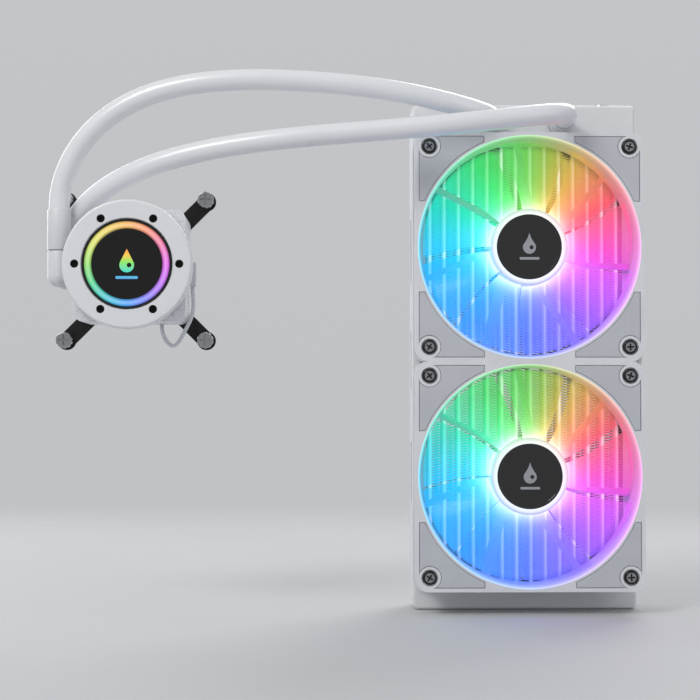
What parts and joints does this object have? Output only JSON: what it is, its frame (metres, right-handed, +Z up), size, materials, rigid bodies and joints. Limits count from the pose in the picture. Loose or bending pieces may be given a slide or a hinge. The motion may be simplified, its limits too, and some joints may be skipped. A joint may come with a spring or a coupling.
{
  "type": "liquid cooling radiator",
  "caption": "White closed-loop liquid cooler: finned radiator with tanks, axial fans with lit blades, sleeved hoses and a round pump head with cold plate.",
  "frame": {"origin": "centre of the case-screw pattern on the radiator's rear mounting face, half way between the two fans", "axes": "+X to the right seen from the front, +Y out of the radiator's back face into the case panel, +Z up along the radiator's length; fans and pump cover face -Y"},
  "size_m": [0.3161, 0.0851, 0.2813],
  "materials": {
    "tank_paint": "satin white powder coat",
    "rail_paint": "satin white powder coat",
    "core_tube_metal": "white coated aluminium tube",
    "core_fin_metal": "thin coated fin stock",
    "plug_metal": "nickel plated",
    "spigot_metal": "turned, barbed",
    "hose_rubber": "low-permeation rubber",
    "sleeve_white": "smooth white sleeving",
    "ferrule_white": "satin white collar",
    "copper_plate": "lapped copper base",
    "dark_screw": "black oxide",
    "plate_seal": "moulded seal",
    "pump_polymer": "glass filled polymer",
    "impeller_polymer": "moulded polymer",
    "ferrite": "sintered ferrite",
    "ground_steel": "ground shaft",
    "stator_iron": "laminated iron with copper winding",
    "board_green": "printed circuit board",
    "housing_white": "satin white polymer",
    "cover_white": "satin white polymer",
    "bezel_black": "gloss black rim",
    "light_ring": "diffuser lit from behind",
    "window_black": "smoked half mirror",
    "emblem": null,
    "bracket_steel": "black e-coated steel",
    "thumb_screw": "nickel plated",
    "spring_steel": "spring wire",
    "elbow_white": "moulded polymer elbow",
    "o_ring": "nitrile",
    "cable_jacket": "white jacket",
    "plug_white": "moulded connector",
    "fan_frame_white": "satin white polymer",
    "pad_white": "white soft pad",
    "blade_translucent": "milky translucent polymer, lit from the hub",
    "badge_black": null,
    "yoke_steel": "drawn steel cup",
    "fan_magnet": "bonded magnet strip",
    "bearing_bronze": "sintered bronze"
  },
  "bodies": {
    "cooler": {"upper_tank": "tank_paint", "lower_tank": "tank_paint", "left_side_rail": "rail_paint", "right_side_rail": "rail_paint", "core_tubes": "core_tube_metal", "core_fins": "core_fin_metal", "fill_plug": "plug_metal", "tank_spigots": "spigot_metal", "return_hose": "hose_rubber", "supply_hose": "hose_rubber", "return_hose_sleeve": "sleeve_white", "supply_hose_sleeve": "sleeve_white", "hose_ferrules": "ferrule_white", "cold_plate": "copper_plate", "cold_plate_screws": "dark_screw", "cold_plate_seal": "plate_seal", "pump_base": "pump_polymer", "impeller_shaft": "ground_steel", "pump_stator": "stator_iron", "pump_board": "board_green", "pump_housing": "housing_white", "cover_ring": "cover_white", "cover_screws": "dark_screw", "socket_bracket": "bracket_steel", "bracket_screws": "thumb_screw", "bracket_springs": "spring_steel", "front_elbow": "elbow_white", "rear_elbow": "elbow_white", "elbow_seals": "o_ring", "pump_lead": "cable_jacket", "lead_plugs": "plug_white", "fan_pads": "pad_white", "fan_screws": "dark_screw", "fan_bearings": "bearing_bronze", "upper_fan_frame": "fan_frame_white", "upper_fan_stator": "stator_iron", "upper_fan_board": "board_green", "upper_fan_lead": "cable_jacket", "lower_fan_frame": "fan_frame_white", "lower_fan_stator": "stator_iron", "lower_fan_board": "board_green", "lower_fan_lead": "cable_jacket"},
    "upper_rotor": {"upper_fan_rotor": "blade_translucent", "upper_fan_badge": "badge_black", "upper_rotor_yoke": "yoke_steel", "upper_rotor_magnet": "fan_magnet", "upper_rotor_shaft": "ground_steel"},
    "lower_rotor": {"lower_fan_rotor": "blade_translucent", "lower_fan_badge": "badge_black", "lower_rotor_yoke": "yoke_steel", "lower_rotor_magnet": "fan_magnet", "lower_rotor_shaft": "ground_steel"},
    "pump_rotor": {"impeller": "impeller_polymer", "impeller_magnet": "ferrite"},
    "cap": {"cap_bezel": "bezel_black", "cap_light_ring": "light_ring", "cap_window": "window_black", "cap_emblem": "emblem"}
  },
  "joints": [
    {"name": "upper_fan_spin", "type": "hinge", "parent": "cooler", "child": "upper_rotor", "pos_m": [0, -0.04, 0.06], "axis": [0, -1, 0], "continuous": true},
    {"name": "lower_fan_spin", "type": "hinge", "parent": "cooler", "child": "lower_rotor", "pos_m": [0, -0.04, -0.06], "axis": [0, -1, 0], "continuous": true},
    {"name": "impeller_spin", "type": "hinge", "parent": "cooler", "child": "pump_rotor", "pos_m": [-0.2081, -0.03, 0.0492], "axis": [0, -1, 0], "continuous": true},
    {"name": "cap_turn", "type": "hinge", "parent": "cooler", "child": "cap", "pos_m": [-0.2081, -0.066, 0.0492], "axis": [0, -1, 0], "range_deg": [-165, 165]}
  ]
}
